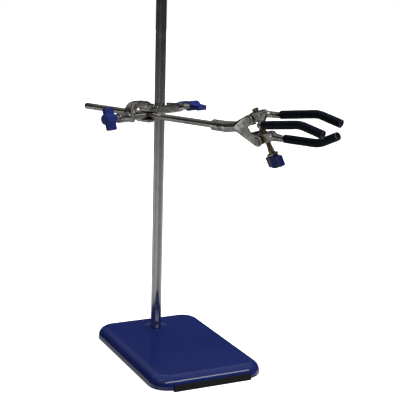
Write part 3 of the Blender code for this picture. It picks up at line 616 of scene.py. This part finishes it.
def sleeve(node, body, corners, y):
    """A vinyl tube: rounded lips, an open tip and walls of slightly uneven thickness."""
    route = smooth_route(corners, 22 * MM, y)
    steps, outer, bore = 40, SLEEVE_RADIUS, 2.75 * MM
    stations = []
    for index, point in enumerate(route):
        ahead = route[min(index + 1, len(route) - 1)] - route[max(index - 1, 0)]
        stations.append((point, ahead.normalized()))
    first, last = stations[0], stations[-1]

    def ring(point, direction, radius, wobble=0.0):
        side = Vector((0, 1, 0))
        up = direction.cross(side).normalized()
        loop = []
        for k in range(steps):
            turn = 2 * math.pi * k / steps
            uneven = math.sin(2 * turn + point.x * 160) + math.sin(point.x * 420 + y * 900)
            r = radius * (1 + wobble * uneven)
            loop.append(point + (side * math.cos(turn) + up * math.sin(turn)) * r)
        return loop

    rings = [ring(first[0] + first[1] * 0.35 * MM, first[1], bore)]
    rings.append(ring(first[0], first[1], bore + 0.2 * MM))
    rings.append(ring(first[0], first[1], outer - 0.35 * MM))
    rings.append(ring(first[0] + first[1] * 0.3 * MM, first[1], outer - 0.05 * MM))
    rings += [ring(point, direction, outer - 0.04 * MM, 0.006) for point, direction in stations[1:-1]]
    rings.append(ring(last[0] - last[1] * 0.35 * MM, last[1], outer - 0.04 * MM))
    rings.append(ring(last[0] - last[1] * 0.1 * MM, last[1], outer - 0.2 * MM))
    rings.append(ring(last[0], last[1], outer - 0.45 * MM))
    rings.append(ring(last[0], last[1], bore + 0.15 * MM))
    rings.append(ring(last[0] - last[1] * 0.4 * MM, last[1], bore))
    rings += [ring(point, direction, bore) for point, direction in reversed(stations[1:-1])]
    rings.append(rings[0])
    bm = bmesh.new()
    rows = [[bm.verts.new(point) for point in loop] for loop in rings[:-1]]
    rows.append(rows[0])
    for upper, lower in zip(rows, rows[1:]):
        for k in range(steps):
            n = (k + 1) % steps
            bm.faces.new((upper[k], upper[n], lower[n], lower[k]))
    add(node + "_vinyl", to_mesh(bm, node), HEAD, body, VINYL, "vinyl", node, sharp=60)


sleeve("sleeve_near", "double_jaw", DOUBLE_ROUTE, -FINGER_SPREAD)
sleeve("sleeve_far", "double_jaw", DOUBLE_ROUTE, FINGER_SPREAD)
sleeve("sleeve_single", "single_jaw", SINGLE_ROUTE, 0.0)


# ---------------------------------------------------------------- camera, floor and light

def camera():
    """A long lens that looks slightly down at the stand from its front left."""
    azimuth, elevation, roll = math.radians(-25.74), math.radians(12.27), math.radians(1.55)
    back = Vector((math.sin(azimuth) * math.cos(elevation), -math.cos(azimuth) * math.cos(elevation),
                   math.sin(elevation)))
    right = Vector((math.cos(azimuth), math.sin(azimuth), 0))
    up = back.cross(right)
    x_axis = math.cos(roll) * right + math.sin(roll) * up
    y_axis = math.cos(roll) * up - math.sin(roll) * right
    target = Vector((ROD.x, ROD.y, 139.47 * MM)) + right * 39.96 * MM
    distance = 0.95
    data = bpy.data.cameras.new("camera")
    data.lens = 89.85
    data.sensor_width = 36
    data.clip_start = 0.05
    data.clip_end = 20
    made = bpy.data.objects.new("camera", data)
    bpy.context.scene.collection.objects.link(made)
    turn = Matrix((x_axis, y_axis, back)).transposed().to_4x4()
    made.matrix_world = Matrix.Translation(target + back * distance) @ turn
    bpy.context.scene.camera = made


def floor():
    """White paper that lights itself, so no shadow shows; it neither lights nor reflects in the stand."""
    bm = bmesh.new()
    bmesh.ops.create_grid(bm, x_segments=1, y_segments=1, size=6)
    made = bpy.data.objects.new("floor", to_mesh(bm, "floor"))
    bpy.context.scene.collection.objects.link(made)
    pale = Surface("floor_pale", (0.93, 0.93, 0.93), 0.85, Specular_IOR_Level=0.1)
    pale.shader.inputs["Emission Color"].default_value = (1, 1, 1, 1)
    pale.shader.inputs["Emission Strength"].default_value = 0.9
    made.data.materials.append(pale.material)
    made.visible_glossy = False
    made.visible_diffuse = False


def area_light(name, location, target, size, power, size_y=None):
    """A soft rectangular lamp that points at a target."""
    data = bpy.data.lights.new(name, "AREA")
    data.energy = power
    data.shape = "RECTANGLE"
    data.size = size
    data.size_y = size_y or size
    made = bpy.data.objects.new(name, data)
    bpy.context.scene.collection.objects.link(made)
    made.location = location
    made.rotation_euler = (Vector(target) - Vector(location)).to_track_quat("-Z", "Y").to_euler()
    return made


def light():
    """Three soft lamps, and a studio that camera, glossy and other rays each see their own way."""
    world = bpy.data.worlds.new("studio")
    bpy.context.scene.world = world
    world.use_nodes = True
    tree = world.node_tree
    background = tree.nodes["Background"]
    background.inputs["Color"].default_value = (1, 1, 1, 1)
    direction = tree.nodes.new("ShaderNodeTexCoord").outputs["Generated"]
    lit_side = tree.nodes.new("ShaderNodeVectorMath")
    lit_side.operation = "DOT_PRODUCT"
    lit_side.inputs[1].default_value = (0.3, 0.05, 0.35)
    tree.links.new(direction, lit_side.inputs[0])
    ambient = tree.nodes.new("ShaderNodeMath")
    ambient.use_clamp = True
    ambient.inputs[1].default_value = 0.42
    tree.links.new(lit_side.outputs["Value"], ambient.inputs[0])
    tree.links.new(ambient.outputs["Value"], background.inputs["Strength"])
    split = tree.nodes.new("ShaderNodeSeparateXYZ")
    tree.links.new(direction, split.inputs["Vector"])
    height = tree.nodes.new("ShaderNodeMapRange")
    height.inputs["From Min"].default_value = -1
    tree.links.new(split.outputs["Z"], height.inputs["Value"])
    bands = tree.nodes.new("ShaderNodeValToRGB")
    # What metal reflects at each height: a ray's upward share, then brightness.
    stops = ((-1.0, 0.40), (-0.5, 0.4), (-0.29, 0.8), (-0.2, 0.8), (-0.14, 0.22), (-0.08, 0.045),
             (0.0, 0.016), (0.35, 0.015), (0.5, 0.1), (0.8, 0.4), (1.0, 0.45))
    while len(bands.color_ramp.elements) < len(stops):
        bands.color_ramp.elements.new(0.5)
    for element, (z, value) in zip(bands.color_ramp.elements, stops):
        element.position = (z + 1) / 2
        element.color = (value, value, value, 1)
    tree.links.new(height.outputs["Result"], bands.inputs["Fac"])
    around = tree.nodes.new("ShaderNodeTexNoise")
    around.inputs["Scale"].default_value = 1.7
    around.inputs["Detail"].default_value = 1.0
    tree.links.new(direction, around.inputs["Vector"])
    uneven = tree.nodes.new("ShaderNodeMapRange")
    for key, value in (("From Min", 0.38), ("From Max", 0.62), ("To Min", 0.55), ("To Max", 1.5)):
        uneven.inputs[key].default_value = value
    tree.links.new(around.outputs["Fac"], uneven.inputs["Value"])
    room = tree.nodes.new("ShaderNodeBackground")
    tree.links.new(bands.outputs["Color"], room.inputs["Color"])
    tree.links.new(uneven.outputs["Result"], room.inputs["Strength"])
    path = tree.nodes.new("ShaderNodeLightPath")
    mix = tree.nodes.new("ShaderNodeMixShader")
    tree.links.new(path.outputs["Is Glossy Ray"], mix.inputs["Fac"])
    tree.links.new(background.outputs["Background"], mix.inputs[1])
    tree.links.new(room.outputs["Background"], mix.inputs[2])
    paper = tree.nodes.new("ShaderNodeBackground")
    paper.inputs["Color"].default_value = (1, 1, 1, 1)
    seen = tree.nodes.new("ShaderNodeMixShader")
    tree.links.new(path.outputs["Is Camera Ray"], seen.inputs["Fac"])
    tree.links.new(mix.outputs["Shader"], seen.inputs[1])
    tree.links.new(paper.outputs["Background"], seen.inputs[2])
    tree.links.new(seen.outputs["Shader"], tree.nodes["World Output"].inputs["Surface"])
    area_light("key", (0.1, -1.3, 1.35), (0, 0, 0.1), 2.2, 14, 0.3)
    area_light("top", (0.2, 0.5, 1.5), (0, 0, 0.1), 0.9, 10).visible_glossy = False
    area_light("fill", (1.2, -0.5, 0.8), (0, 0, 0.15), 0.8, 3).visible_glossy = False


camera()
floor()
light()
bpy.context.scene.view_settings.view_transform = "Standard"

bpy.context.view_layer.update()
